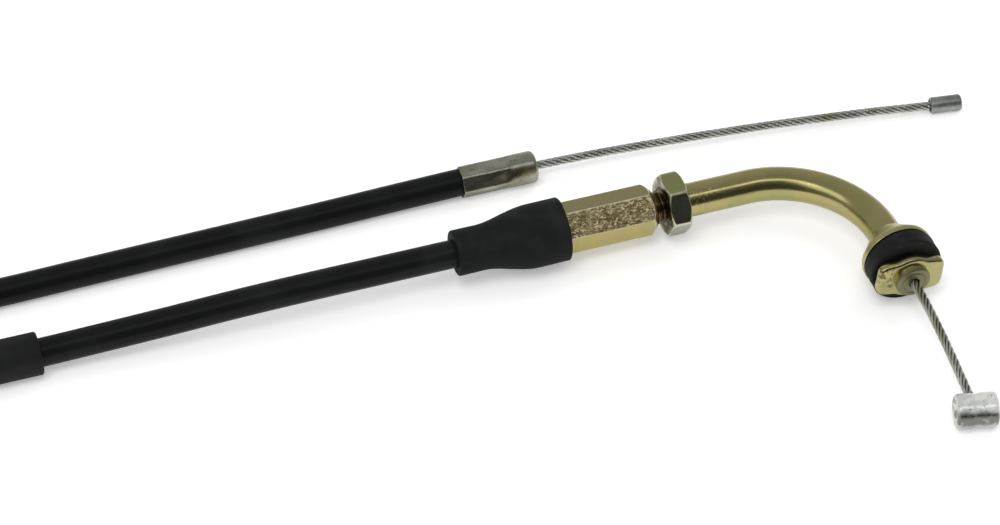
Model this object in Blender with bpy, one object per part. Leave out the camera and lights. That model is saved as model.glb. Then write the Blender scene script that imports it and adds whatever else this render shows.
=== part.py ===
# A throttle cable for small petrol machines, lying on a table with its spare conduit coiled.
# Units are metres, +Z is up. The bent guide pipe lies along X, turns through a right angle and
# ends along -Y. All along-the-pipe places are distances from the point where those axes cross.

from math import atan2, cos, pi, radians, sin, tan

import bmesh
import bpy
from mathutils import Matrix, Vector

# Running and seating clearance between neighbouring pieces
GAP = 0.0003

# Bent guide pipe
PIPE_DIAMETER = 0.0060
PIPE_BORE = 0.0040
BEND_RADIUS = 0.0185
BEND_ANGLE = radians(90)
PIPE_CHAMFER = 0.0005
THREAD_ENGAGED = 0.0103
SPIGOT_DIAMETER = 0.0050
LIP_DIAMETER = 0.0062
LIP_THICKNESS = 0.0010
LIP_HOLE = 0.0027
LIP_ROUND = 0.0004

# Guide liner inside the pipe
LINER_DIAMETER = 0.0034
LINER_BORE = 0.0021
LINER_SET_BACK = 0.0005

# Stack on the pipe's end, in order along the exit axis
FLANGE_START = 0.0204
FLANGE_HUB = 0.0074
FLANGE_DIAMETER = 0.0130
FLANGE_CONE = 0.0038
FLANGE_RIM = 0.0010
FLANGE_EDGE = 0.0003
SEAL_DIAMETER = 0.0131
SEAL_THICKNESS = 0.0032
PLATE_DIAMETER = 0.0122
PLATE_HEIGHT = 0.0068
PLATE_BOSS = 0.0084
PLATE_THICKNESS = 0.0019
PLATE_TURN = radians(5)
PLATE_EDGE = 0.0003

# Lock nut and screw adjuster
NUT_START = 0.0305
NUT_ACROSS_FLATS = 0.0100
NUT_THICKNESS = 0.0037
NUT_CHAMFER = 0.0007
NUT_TURN = radians(0)
THREAD_SEEN = 0.0020
ADJUSTER_ACROSS_FLATS = 0.0080
ADJUSTER_HEX_LENGTH = 0.0187
ADJUSTER_CHAMFER = 0.0006
ADJUSTER_EDGE = 0.0003
ADJUSTER_TURN = radians(-16)
ADJUSTER_THREAD_DEPTH = 0.0145
ADJUSTER_WEB = 0.0016
ADJUSTER_WIRE_HOLE = 0.0027
COLLAR_DIAMETER = 0.0084
COLLAR_LENGTH = 0.0055

# Conduit, its end cap and the rubber boot
CONDUIT_DIAMETER = 0.0050
CAP_WALL = 0.0005
CAP_FLOOR = 0.0010
CAP_LENGTH = 0.0075
CAP_HOLE = 0.0021
CAP_EDGE = 0.0002
BOOT_SEEN_HEX = 0.0167
BOOT_LENGTH = 0.0198
BOOT_NECK = 0.0081
BOOT_NECK_LENGTH = 0.0045
BOOT_WIDEST = 0.0114
BOOT_MOUTH = 0.0113
BOOT_LIP = 0.0003
BOOT_SWELL_END = 0.0143
BOOT_INNER_CONE = 0.0028

# Sleeve on the conduit
SLEEVE_DIAMETER = 0.0075
SLEEVE_LENGTH = 0.030
SLEEVE_START = 0.146
SLEEVE_SIDE = 0.00175

# Inner wire and its two nipples
WIRE_DIAMETER = 0.0015
BARREL_DIAMETER = 0.0060
BARREL_LENGTH = 0.0070
BARREL_ROUND = 0.0006
BARREL_RECESS = 0.0003
BARREL_RECESS_DIAMETER = 0.0034
BARREL_GROOVE = 0.0016
BARREL_GROOVE_DEPTH = 0.0002
BARREL_REACH = 0.0604
BARREL_SIDE = 0.0008
BARREL_YAW = radians(-13)
WIRE_DROP = radians(8)
WIRE_DRIFT = radians(3)
WIRE_STUB = 0.0110
NIPPLE_DIAMETER = 0.0030
NIPPLE_LENGTH = 0.0058
NIPPLE_CHAMFER = 0.0004
NIPPLE_HOLE_DEPTH = 0.0040
NIPPLE_YAW = radians(-8)

# Crimped ferrule on the carburettor end
FERRULE_DIAMETER = 0.0058
FERRULE_LENGTH = 0.0141
FERRULE_CRIMP_FLATS = 0.0054
FERRULE_CRIMP_LENGTH = 0.0094
FERRULE_CRIMP_TURN = radians(56)
FERRULE_SOCKET = 0.0085
FERRULE_ROUND = 0.0009
FERRULE_HOLE = 0.0021
CRIMPED_JACKET = 0.0042

# Coil of the spare conduit and its ties
COIL_RADIUS = 0.030
COIL_WIDE = 2
COIL_HIGH = 2
COIL_STEPS = 48
TIE_THICKNESS = 0.0008
TIE_WIDTH = 0.0040
TIE_ANGLES = (radians(90), radians(200), radians(310))

# Places that follow from the sizes above
PIPE_RADIUS = PIPE_DIAMETER / 2
AXIS_HEIGHT = SEAL_DIAMETER / 2
SEAL_START = FLANGE_START + FLANGE_CONE + FLANGE_RIM + GAP
PLATE_START = SEAL_START + SEAL_THICKNESS + GAP
LIP_START = PLATE_START + PLATE_THICKNESS + GAP
LIP_END = LIP_START + LIP_THICKNESS
ADJUSTER_START = NUT_START + NUT_THICKNESS + THREAD_SEEN
PIPE_END = ADJUSTER_START + THREAD_ENGAGED
WEB_START = ADJUSTER_START + ADJUSTER_THREAD_DEPTH
CAP_START = WEB_START + ADJUSTER_WEB + GAP
CONDUIT_START = CAP_START + CAP_FLOOR + GAP
HEX_END = ADJUSTER_START + ADJUSTER_HEX_LENGTH
COLLAR_END = HEX_END + COLLAR_LENGTH
BOOT_START = ADJUSTER_START + BOOT_SEEN_HEX
BOOT_END = BOOT_START + BOOT_LENGTH
CAP_DIAMETER = CONDUIT_DIAMETER + 2 * (GAP + CAP_WALL)
NUT_CORNER = NUT_ACROSS_FLATS / 2 / cos(radians(30))
HEX_CORNER = ADJUSTER_ACROSS_FLATS / 2 / cos(radians(30))

# The origin lies on the table, under the middle of the throttle end
BARREL_HALF = BARREL_LENGTH / 2 * abs(sin(BARREL_YAW)) + BARREL_DIAMETER / 2 * cos(BARREL_YAW)
CROSSING = Vector((
    (BOOT_END - SEAL_DIAMETER / 2) / 2,
    (BARREL_REACH + BARREL_HALF - NUT_CORNER) / 2,
    0.0,
))
AXES = CROSSING + Vector((0, 0, AXIS_HEIGHT))

# Distance between the points of a cord's solid
CONDUIT_SPACING = 0.006
WIRE_SPACING = 0.003

# Routes of the conduit and the wires, chosen by hand, from the crossing of the axes, z from the table
THROTTLE_ROUTE = (
    (-CONDUIT_START, 0, AXIS_HEIGHT), (-0.0650, 0, AXIS_HEIGHT), (-0.0760, 0, AXIS_HEIGHT),
    (-0.0875, 0, AXIS_HEIGHT), (-0.0990, 0, AXIS_HEIGHT), (-0.1110, 0.0003, 0.0061),
    (-0.1230, 0.0009, 0.0051), (-0.1350, 0.0015, 0.0042), (-0.1460, SLEEVE_SIDE, 0.00375),
    (-0.1560, SLEEVE_SIDE, 0.00375), (-0.1660, SLEEVE_SIDE, 0.00375), (-0.1780, SLEEVE_SIDE, 0.00375),
    (-0.1884, 0.0004, 0.0037), (-0.1980, -0.0036, 0.0037), (-0.2063, -0.0100, 0.0037),
)
CARBURETTOR_ROUTE = (
    (-0.0565, 0.02105, 0.0029), (-0.0605, 0.02108, 0.0029), (-0.0650, 0.02112, 0.0029),
    (-0.0760, 0.0212, 0.0026), (-0.0900, 0.0209, 0.0025), (-0.1050, 0.0206, 0.0025),
    (-0.1200, 0.0203, 0.0025), (-0.1350, 0.0200, 0.0025), (-0.1490, 0.0197, 0.0025),
    (-0.1640, 0.01965, 0.0028), (-0.1780, 0.01965, 0.0042), (-0.1884, 0.0210, 0.0062),
    (-0.1980, 0.0250, 0.0077), (-0.2063, 0.0313, 0.0083),
)
CARBURETTOR_WIRE_ROUTE = (
    (-0.0558, 0.02105, 0.0029), (-0.0507, 0.02105, 0.0029), (-0.0450, 0.0209, 0.0029),
    (-0.0384, 0.0207, 0.00285), (-0.0300, 0.0202, 0.0028), (-0.0195, 0.0195, 0.0027),
    (-0.0082, 0.0186, 0.0025), (0.0020, 0.0177, 0.0022), (0.0120, 0.0167, 0.0019),
    (0.0190, 0.0159, 0.0016), (0.0240, 0.0152, 0.0015), (0.0278, 0.01467, 0.0015),
)
NIPPLE_PLACE = Vector((0.0240, 0.0152, 0.0015))
FERRULE_PLACE = Vector((-0.0507, 0.02105, 0.0029))
COIL_CENTRE = Vector((-0.2314, 0.0107, 0.0))
COIL_BASE = TIE_THICKNESS + GAP


def clear_scene():
    for old in list(bpy.data.objects):
        bpy.data.objects.remove(old, do_unlink=True)


def finish(name, colour, roughness, metallic):
    look = bpy.data.materials.new(name)
    look.use_nodes = True
    shader = look.node_tree.nodes["Principled BSDF"]
    shader.inputs["Base Color"].default_value = (*colour, 1)
    shader.inputs["Roughness"].default_value = roughness
    shader.inputs["Metallic"].default_value = metallic
    return look


def axis_empty(name, place, yaw=0.0):
    empty = bpy.data.objects.new(name, None)
    empty.location = place
    empty.rotation_euler = (0, 0, yaw)
    bpy.context.collection.objects.link(empty)
    return empty


def add_object(name, bm, look, parent=None, place=(0, 0, 0), turn=(0, 0, 0)):
    bmesh.ops.recalc_face_normals(bm, faces=bm.faces)
    mesh = bpy.data.meshes.new(name)
    bm.to_mesh(mesh)
    bm.free()
    mesh.shade_smooth()
    mesh.set_sharp_from_angle(angle=radians(35))
    mesh.materials.append(look)
    piece = bpy.data.objects.new(name, mesh)
    piece.parent = parent
    piece.location = place
    piece.rotation_euler = turn
    bpy.context.collection.objects.link(piece)
    return piece


def turned_mesh(profile, segments=36):
    """A lathe-turned solid about X. A closed profile has a bore, an open one ends on the axis."""
    bm = bmesh.new()
    corners = [bm.verts.new((x, 0, radius)) for x, radius in profile]
    edges = [bm.edges.new(pair) for pair in zip(corners, corners[1:])]
    if min(radius for _, radius in profile) > 0:
        edges.append(bm.edges.new((corners[-1], corners[0])))
    bmesh.ops.spin(
        bm, geom=corners + edges, cent=(0, 0, 0), axis=(1, 0, 0),
        angle=2 * pi, steps=segments, use_merge=True,
    )
    bmesh.ops.remove_doubles(bm, verts=bm.verts, dist=1e-6)
    return bm


def rounded_end(x, radius, corner, direction, steps=4):
    """Profile points of a rounded outer edge at x, running towards the end face."""
    return [
        (x + direction * corner * sin(radians(90) * i / steps),
         radius - corner * (1 - cos(radians(90) * i / steps)))
        for i in range(steps + 1)
    ]


def hex_prism(across_flats, start, end, turn):
    """A hexagonal bar along X, turned about X from where one flat faces up."""
    bm = bmesh.new()
    corner = across_flats / 2 / cos(radians(30))
    place = Matrix.Translation((start, 0, 0)) @ Matrix.Rotation(radians(90), 4, "Y")
    bmesh.ops.create_circle(bm, cap_ends=True, segments=6, radius=corner, matrix=place)
    bmesh.ops.rotate(bm, verts=bm.verts, matrix=Matrix.Rotation(turn, 3, "X"))
    grown = bmesh.ops.extrude_face_region(bm, geom=bm.faces[:])["geom"]
    tops = [part for part in grown if isinstance(part, bmesh.types.BMVert)]
    bmesh.ops.translate(bm, verts=tops, vec=(end - start, 0, 0))
    return bm


def cut(piece, tool, operation="DIFFERENCE"):
    tool.hide_render = True
    tool.display_type = "WIRE"
    modifier = piece.modifiers.new(tool.name, "BOOLEAN")
    modifier.object = tool
    modifier.operation = operation
    modifier.solver = "EXACT"


def soften(piece, width, segments=2, angle=radians(40)):
    bevel = piece.modifiers.new("edges", "BEVEL")
    bevel.width = width
    bevel.segments = segments
    bevel.limit_method = "ANGLE"
    bevel.angle_limit = angle


def smooth_route(points, spacing):
    """Points along a smooth curve through the route's own points, about spacing apart."""
    knots = [Vector(point) for point in points]
    knots = [2 * knots[0] - knots[1], *knots, 2 * knots[-1] - knots[-2]]
    route = []
    for before, start, end, after in zip(knots, knots[1:], knots[2:], knots[3:]):
        count = max(1, round((end - start).length / spacing))
        for i in range(count):
            t = i / count
            route.append(0.5 * (
                2 * start + (end - before) * t
                + (2 * before - 5 * start + 4 * end - after) * t ** 2
                + (3 * start - before - 3 * end + after) * t ** 3
            ))
    return [*route, knots[-2]]


def tube(name, points, diameter, look, parent, resolution=3, thinning=None):
    """A cord's solid: a round bevelled curve with filled caps along the points."""
    curve = bpy.data.curves.new(name, "CURVE")
    curve.dimensions = "3D"
    curve.bevel_depth = diameter / 2
    curve.bevel_resolution = resolution
    curve.use_fill_caps = True
    spline = curve.splines.new("POLY")
    spline.points.add(len(points) - 1)
    for knot, place in zip(spline.points, points):
        knot.co = (*place, 1)
        knot.radius = thinning(place) if thinning else 1.0
    curve.materials.append(look)
    piece = bpy.data.objects.new(name, curve)
    piece.parent = parent
    bpy.context.collection.objects.link(piece)
    return piece


def drawn_on(bm, ring, along, steps):
    """Carries a tube's two end circles along: each step gives a distance, outer and bore radius."""
    for distance, outer, bore in steps:
        grown = bmesh.ops.extrude_edge_only(bm, edges=ring)["geom"]
        corners = {part for part in grown if isinstance(part, bmesh.types.BMVert)}
        ring = [
            part for part in grown
            if isinstance(part, bmesh.types.BMEdge) and corners.issuperset(part.verts)
        ]
        bmesh.ops.translate(bm, verts=list(corners), vec=along * distance)
        arms = {vert: vert.co - along * vert.co.dot(along) for vert in corners}
        middle = sum(arm.length for arm in arms.values()) / len(arms)
        for vert, arm in arms.items():
            wanted = outer if arm.length > middle else bore
            vert.co += arm.normalized() * (wanted - arm.length)
    return ring


def pipe_mesh(start, first, bend_steps, last, outer, bore, segments):
    """A tube along the pipe's axis from start, round the bend and on along the exit axis."""
    bm = bmesh.new()
    lying = Matrix.Translation((start, 0, 0)) @ Matrix.Rotation(radians(90), 4, "Y")
    for radius in (outer, bore):
        bmesh.ops.create_circle(bm, segments=segments, radius=radius, matrix=lying)
    ring = bm.edges[:]
    bmesh.ops.bridge_loops(bm, edges=ring)
    ring = drawn_on(bm, ring, Vector((1, 0, 0)), first)
    corners = list({vert for edge in ring for vert in edge.verts})
    spun = bmesh.ops.spin(
        bm, geom=corners + ring, cent=(-BEND_RADIUS, -BEND_RADIUS, 0), axis=(0, 0, 1),
        angle=-BEND_ANGLE, steps=bend_steps,
    )
    ring = [part for part in spun["geom_last"] if isinstance(part, bmesh.types.BMEdge)]
    ring = drawn_on(bm, ring, Vector((0, -1, 0)), last)
    bmesh.ops.bridge_loops(bm, edges=ring)
    return bm


def make_elbow_pipe(look, pipe_axis):
    radius = PIPE_RADIUS
    bore = PIPE_BORE / 2
    liner_end = SEAL_START + SEAL_THICKNESS / 2
    first = [
        (PIPE_CHAMFER, radius, bore),
        (PIPE_END - PIPE_CHAMFER - BEND_RADIUS, radius, bore),
    ]
    last = [
        (liner_end - BEND_RADIUS, radius, bore),
        (0, radius, LIP_HOLE / 2),
        (PLATE_START - GAP - liner_end, radius, LIP_HOLE / 2),
        (0, SPIGOT_DIAMETER / 2, LIP_HOLE / 2),
        (LIP_START - PLATE_START + GAP, SPIGOT_DIAMETER / 2, LIP_HOLE / 2),
        (0, LIP_DIAMETER / 2, LIP_HOLE / 2),
        (LIP_THICKNESS - LIP_ROUND, LIP_DIAMETER / 2, LIP_HOLE / 2),
        (LIP_ROUND * 0.6, LIP_DIAMETER / 2 - LIP_ROUND * 0.3, LIP_HOLE / 2),
        (LIP_ROUND * 0.4, LIP_DIAMETER / 2 - LIP_ROUND, LIP_HOLE / 2 + LIP_ROUND / 3),
    ]
    bm = pipe_mesh(-PIPE_END, first, 14, last, radius - PIPE_CHAMFER, bore, 20)
    return add_object("elbow_pipe", bm, look, pipe_axis)


def make_pipe_liner(look, pipe_axis):
    outer = LINER_DIAMETER / 2
    bore = LINER_BORE / 2
    liner_end = SEAL_START + SEAL_THICKNESS / 2 - GAP
    start = PIPE_END - LINER_SET_BACK
    first = [(start - BEND_RADIUS, outer, bore)]
    last = [(liner_end - BEND_RADIUS, outer, bore)]
    bm = pipe_mesh(-start, first, 14, last, outer, bore, 12)
    return add_object("pipe_liner", bm, look, pipe_axis)


def make_pipe_flange(look, exit_axis):
    bore = PIPE_RADIUS + GAP
    rim = FLANGE_DIAMETER / 2
    ledge = FLANGE_CONE + FLANGE_RIM
    profile = [
        (0, bore), (0, FLANGE_HUB / 2), (FLANGE_CONE - FLANGE_EDGE, rim - FLANGE_EDGE),
        (FLANGE_CONE + FLANGE_EDGE / 2, rim), (ledge - FLANGE_EDGE / 2, rim),
        (ledge, rim - FLANGE_EDGE / 2), (ledge, bore),
    ]
    return add_object("pipe_flange", turned_mesh(profile), look, exit_axis, (FLANGE_START, 0, 0))


def make_seal_washer(look, exit_axis):
    bore = PIPE_RADIUS + GAP
    outer = SEAL_DIAMETER / 2
    corner = SEAL_THICKNESS / 8
    profile = [(0, bore), *reversed(rounded_end(corner, outer, corner, -1, 3))]
    profile += [*rounded_end(SEAL_THICKNESS - corner, outer, corner, 1, 3), (SEAL_THICKNESS, bore)]
    return add_object("seal_washer", turned_mesh(profile), look, exit_axis, (SEAL_START, 0, 0))


def make_key_plate(look, exit_axis):
    """Pressed plate with two flats, rounded ends and a round swelling about its bore."""
    bm = bmesh.new()
    sides = 60
    bore = SPIGOT_DIAMETER / 2 + GAP
    rings = []
    for kind in ("outline", "bore"):
        ring = []
        for i in range(sides):
            angle = 2 * pi * (i + 0.5) / sides
            ends = min(PLATE_DIAMETER / 2, PLATE_HEIGHT / 2 / abs(sin(angle)))
            reach = max(PLATE_BOSS / 2, ends) if kind == "outline" else bore
            ring.append(bm.verts.new((0, reach * cos(angle), reach * sin(angle))))
        rings += [bm.edges.new((ring[i - 1], ring[i])) for i in range(sides)]
    cap = bmesh.ops.bridge_loops(bm, edges=rings)["faces"]
    grown = bmesh.ops.extrude_face_region(bm, geom=cap)["geom"]
    front = [part for part in grown if isinstance(part, bmesh.types.BMVert)]
    bmesh.ops.translate(bm, verts=front, vec=(PLATE_THICKNESS, 0, 0))
    plate = add_object("key_plate", bm, look, exit_axis, (PLATE_START, 0, 0), (-PLATE_TURN, 0, 0))
    soften(plate, PLATE_EDGE, 1)
    return plate


def chamfer_run(across_flats, chamfer):
    """Radius at a hexagon's end face, the blank's radius, and the length of its 30 degree chamfer."""
    low = across_flats / 2 - chamfer / 2
    wide = across_flats / 2 / cos(radians(30)) + chamfer
    return low, wide, (wide - low) * tan(radians(30))


def make_lock_nut(look, pipe_axis):
    """Hexagon nut chamfered on both faces, one flat facing up."""
    end = -NUT_START
    start = end - NUT_THICKNESS
    bore = PIPE_RADIUS + GAP
    low, wide, run = chamfer_run(NUT_ACROSS_FLATS, NUT_CHAMFER)
    profile = [(start, bore), (start, low), (start + run, wide), (end - run, wide), (end, low), (end, bore)]
    nut = add_object("lock_nut", turned_mesh(profile), look, pipe_axis)
    bar = hex_prism(NUT_ACROSS_FLATS, start - NUT_CHAMFER, end + NUT_CHAMFER, NUT_TURN)
    cut(nut, add_object("lock_nut_flats", bar, look, pipe_axis), "INTERSECT")
    return nut


def make_adjuster(look, pipe_axis):
    """Long hexagon bored for the pipe's thread, with a round socket collar for the conduit's cap."""
    end = -ADJUSTER_START
    socket = CAP_DIAMETER / 2 + GAP
    hole = ADJUSTER_WIRE_HOLE / 2
    collar = COLLAR_DIAMETER / 2
    low, wide, run = chamfer_run(ADJUSTER_ACROSS_FLATS, ADJUSTER_CHAMFER)
    profile = [
        (-COLLAR_END, socket), (-COLLAR_END, collar - ADJUSTER_EDGE), (-COLLAR_END + ADJUSTER_EDGE, collar),
        (-HEX_END, collar), (-HEX_END, wide), (end - run, wide), (end, low),
        (end, PIPE_RADIUS + GAP), (-WEB_START, PIPE_RADIUS + GAP), (-WEB_START, hole),
        (-WEB_START - ADJUSTER_WEB, hole), (-WEB_START - ADJUSTER_WEB, socket),
    ]
    adjuster = add_object("adjuster", turned_mesh(profile), look, pipe_axis)
    bar = hex_prism(ADJUSTER_ACROSS_FLATS, -HEX_END, end + ADJUSTER_CHAMFER, ADJUSTER_TURN)
    neck = bmesh.new()
    middle = -HEX_END + GAP - COLLAR_LENGTH / 2
    lying = Matrix.Translation((middle, 0, 0)) @ Matrix.Rotation(radians(90), 4, "Y")
    bmesh.ops.create_cone(
        neck, cap_ends=True, segments=36, radius1=HEX_CORNER, radius2=HEX_CORNER,
        depth=COLLAR_LENGTH + 4 * GAP, matrix=lying,
    )
    flats = add_object("adjuster_flats", bar, look, pipe_axis)
    collar_keep = add_object("adjuster_collar", neck, look, pipe_axis)
    cut(flats, collar_keep, "UNION")
    cut(adjuster, flats, "INTERSECT")
    return adjuster


def make_conduit_cap(look, pipe_axis):
    bore = CONDUIT_DIAMETER / 2 + GAP
    outer = CAP_DIAMETER / 2
    far = -CAP_START - CAP_LENGTH
    profile = [
        (far, bore), (far, outer), (-CAP_START - CAP_EDGE, outer), (-CAP_START, outer - CAP_EDGE),
        (-CAP_START, CAP_HOLE / 2), (-CAP_START - CAP_FLOOR, CAP_HOLE / 2), (-CAP_START - CAP_FLOOR, bore),
    ]
    return add_object("conduit_end_cap", turned_mesh(profile, 32), look, pipe_axis)


def make_rubber_boot(look, pipe_axis):
    """Moulded boot: a straight neck on the conduit that swells over the adjuster."""
    neck = BOOT_NECK / 2
    wide = BOOT_WIDEST / 2
    mouth = BOOT_MOUTH / 2
    steps = 8
    outside = [(0, neck - BOOT_LIP), (BOOT_LIP, neck)]
    for i in range(steps + 1):
        t = i / steps
        ease = t * t * (3 - 2 * t)
        x = BOOT_NECK_LENGTH + (BOOT_SWELL_END - BOOT_NECK_LENGTH) * t
        outside.append((x, neck + (wide - neck) * ease))
    outside += [(BOOT_LENGTH - BOOT_LIP, mouth), (BOOT_LENGTH, mouth - BOOT_LIP)]
    collar_room = COLLAR_DIAMETER / 2 + GAP
    hex_room = HEX_CORNER + GAP
    collar_place = BOOT_END - COLLAR_END - 2 * GAP
    hex_place = BOOT_END - HEX_END - 2 * GAP
    inside = [
        (BOOT_LENGTH, hex_room), (hex_place, hex_room), (hex_place - GAP, collar_room),
        (collar_place, collar_room), (collar_place - BOOT_INNER_CONE, CONDUIT_DIAMETER / 2 + GAP),
        (0, CONDUIT_DIAMETER / 2 + GAP),
    ]
    bm = turned_mesh(outside + inside)
    return add_object("rubber_boot", bm, look, pipe_axis, (-BOOT_END, 0, 0))


def make_sleeve(look, crossing):
    outer = SLEEVE_DIAMETER / 2
    bore = CONDUIT_DIAMETER / 2 + GAP
    edge = GAP
    profile = [
        (0, bore), (0, outer - edge), (edge, outer), (SLEEVE_LENGTH - edge, outer),
        (SLEEVE_LENGTH, outer - edge), (SLEEVE_LENGTH, bore),
    ]
    place = (-SLEEVE_START - SLEEVE_LENGTH, SLEEVE_SIDE, SLEEVE_DIAMETER / 2)
    return add_object("protective_sleeve", turned_mesh(profile, 32), look, crossing, place)


def make_barrel_nipple(look, crossing):
    """Die-cast barrel with a groove round its middle, shallow end recesses and the wire's hole."""
    half = BARREL_LENGTH / 2
    radius = BARREL_DIAMETER / 2
    groove = BARREL_GROOVE / 2
    floor = radius - BARREL_GROOVE_DEPTH
    dish = BARREL_RECESS_DIAMETER / 2
    left = [(-half + BARREL_RECESS, 0), (-half + BARREL_RECESS, dish - BARREL_RECESS), (-half, dish)]
    left += list(reversed(rounded_end(-half + BARREL_ROUND, radius, BARREL_ROUND, -1)))
    left += [(-groove - BARREL_GROOVE_DEPTH, radius), (-groove, floor)]
    profile = left + [(-x, r) for x, r in reversed(left)]
    height = BARREL_DIAMETER / 2
    place = (-BARREL_SIDE, -BARREL_REACH, height)
    barrel = add_object("barrel_nipple", turned_mesh(profile), look, crossing, place, (0, 0, BARREL_YAW))
    radius = WIRE_DIAMETER / 2 + GAP
    towards = wire_entry_direction()
    length = BARREL_DIAMETER
    hole = bmesh.new()
    bmesh.ops.create_cone(
        hole, cap_ends=True, segments=20, radius1=radius, radius2=radius, depth=length,
        matrix=towards.to_track_quat("Z", "Y").to_matrix().to_4x4(),
    )
    start = Vector((-BARREL_SIDE, -BARREL_REACH, height)) + towards * (GAP - length / 2)
    cut(barrel, add_object("barrel_wire_hole", hole, look, crossing, start))
    return barrel


def wire_entry_direction():
    """The way the wire points where it goes into the barrel."""
    flat = cos(WIRE_DROP)
    return Vector((-flat * sin(WIRE_DRIFT), -flat * cos(WIRE_DRIFT), -sin(WIRE_DROP)))


def throttle_wire_route():
    """From inside the pipe's straight end, out of its lip, and down to the middle of the barrel."""
    lip = Vector((0, -LIP_END, AXIS_HEIGHT))
    back = Vector((0, WIRE_STUB, 0))
    middle = Vector((-BARREL_SIDE, -BARREL_REACH, BARREL_DIAMETER / 2))
    entry = middle - wire_entry_direction() * BARREL_DIAMETER
    run = (entry - lip).length
    leaving = Vector((0, -run, 0))
    arriving = wire_entry_direction() * run
    route = [lip + back, lip + back / 2, lip + back / 10]
    for step in range(1, 6):
        t = step / 6
        route.append(
            lip * (2 * t ** 3 - 3 * t ** 2 + 1) + leaving * (t ** 3 - 2 * t ** 2 + t)
            + entry * (3 * t ** 2 - 2 * t ** 3) + arriving * (t ** 3 - t ** 2)
        )
    return [*route, entry, middle.lerp(entry, 0.5), middle]


def ferrule_mesh():
    """Drawn cup with a hexagon crimp on the jacket and a rounded shoulder at the wire's end."""
    full = FERRULE_DIAMETER / 2
    flat = FERRULE_CRIMP_FLATS / 2
    socket = CRIMPED_JACKET / 2 + GAP
    hole = FERRULE_HOLE / 2
    mouth = -FERRULE_LENGTH
    crimp_end = mouth + FERRULE_CRIMP_LENGTH
    edge = FERRULE_ROUND / 3
    stations = [(mouth, full - edge, False), (mouth + edge, full, False)]
    stations += [(mouth + 3 * edge, full, True), (crimp_end - FERRULE_ROUND, full, True)]
    stations += [(crimp_end, full, False)]
    stations += [(x, r, False) for x, r in rounded_end(-FERRULE_ROUND, full, FERRULE_ROUND, 1, 4)]
    stations += [(0, hole, False), (mouth + FERRULE_SOCKET, hole, False)]
    stations += [(mouth + FERRULE_SOCKET, socket, False), (mouth, socket, False)]
    bm = bmesh.new()
    lying = Matrix.Rotation(radians(90), 4, "Y")
    bmesh.ops.create_circle(bm, segments=36, radius=full, matrix=lying)
    ring = bm.edges[:]
    corners = bm.verts[:]
    for number, (x, radius, crimped) in enumerate([*stations, stations[0]]):
        if number:
            grown = bmesh.ops.extrude_edge_only(bm, edges=ring)["geom"]
            corners = {part for part in grown if isinstance(part, bmesh.types.BMVert)}
            ring = [
                part for part in grown
                if isinstance(part, bmesh.types.BMEdge) and corners.issuperset(part.verts)
            ]
        for vert in corners:
            angle = atan2(vert.co.z, vert.co.y)
            lean = (angle + FERRULE_CRIMP_TURN) % radians(60) - radians(30)
            reach = min(radius, flat / cos(lean)) if crimped else radius
            vert.co = (x, reach * cos(angle), reach * sin(angle))
    bmesh.ops.remove_doubles(bm, verts=bm.verts, dist=1e-6)
    return bm


def make_carburettor_nipple(look, crossing):
    radius = NIPPLE_DIAMETER / 2
    edge = NIPPLE_CHAMFER
    hole = WIRE_DIAMETER / 2 + GAP
    profile = [
        (NIPPLE_HOLE_DEPTH, 0), (NIPPLE_HOLE_DEPTH, hole), (0, hole), (0, radius - edge), (edge, radius),
        *rounded_end(NIPPLE_LENGTH - edge, radius, edge, 1, 3), (NIPPLE_LENGTH, 0),
    ]
    bm = turned_mesh(profile, 32)
    return add_object("carburettor_nipple", bm, look, crossing, NIPPLE_PLACE, (0, 0, NIPPLE_YAW))


def make_coil(look, crossing):
    half = CONDUIT_DIAMETER * COIL_WIDE / 2
    top = COIL_BASE + CONDUIT_DIAMETER * COIL_HIGH
    round_off = CONDUIT_DIAMETER / 4
    bm = bmesh.new()
    low, high = COIL_BASE + round_off, top - round_off
    near, far = COIL_RADIUS - half, COIL_RADIUS + half
    section = [
        (near, low), (near, high), (near + round_off, top), (far - round_off, top),
        (far, high), (far, low), (far - round_off, COIL_BASE), (near + round_off, COIL_BASE),
    ]
    corners = [bm.verts.new((radius, 0, z)) for radius, z in section]
    edges = [bm.edges.new((corners[i - 1], corners[i])) for i in range(len(corners))]
    bmesh.ops.spin(
        bm, geom=corners + edges, cent=(0, 0, 0), axis=(0, 0, 1),
        angle=2 * pi, steps=COIL_STEPS, use_merge=True,
    )
    return add_object("conduit_coil", bm, look, crossing, COIL_CENTRE)


def make_coil_tie(number, angle, look, crossing):
    """A flat tie round the coil's section."""
    half_width = CONDUIT_DIAMETER * COIL_WIDE / 2
    half_height = CONDUIT_DIAMETER * COIL_HIGH / 2
    corner = CONDUIT_DIAMETER / 4
    bm = bmesh.new()
    loops = []
    for offset in (GAP, GAP + TIE_THICKNESS):
        ring = []
        for right, up, first in ((1, 1, 0), (-1, 1, 90), (-1, -1, 180), (1, -1, 270)):
            for step in range(4):
                lean = radians(first + 30 * step)
                ring.append(bm.verts.new((
                    right * (half_width - corner) + (corner + offset) * cos(lean),
                    -TIE_WIDTH / 2,
                    up * (half_height - corner) + (corner + offset) * sin(lean),
                )))
        loops += [bm.edges.new((ring[i - 1], ring[i])) for i in range(len(ring))]
    cap = bmesh.ops.bridge_loops(bm, edges=loops)["faces"]
    grown = bmesh.ops.extrude_face_region(bm, geom=cap)["geom"]
    far_side = [part for part in grown if isinstance(part, bmesh.types.BMVert)]
    bmesh.ops.translate(bm, verts=far_side, vec=(0, TIE_WIDTH, 0))
    middle = Vector((COIL_RADIUS * cos(angle), COIL_RADIUS * sin(angle), COIL_BASE + half_height))
    place = COIL_CENTRE + middle
    return add_object(f"coil_tie_{number}", bm, look, crossing, place, (0, 0, angle))


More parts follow.
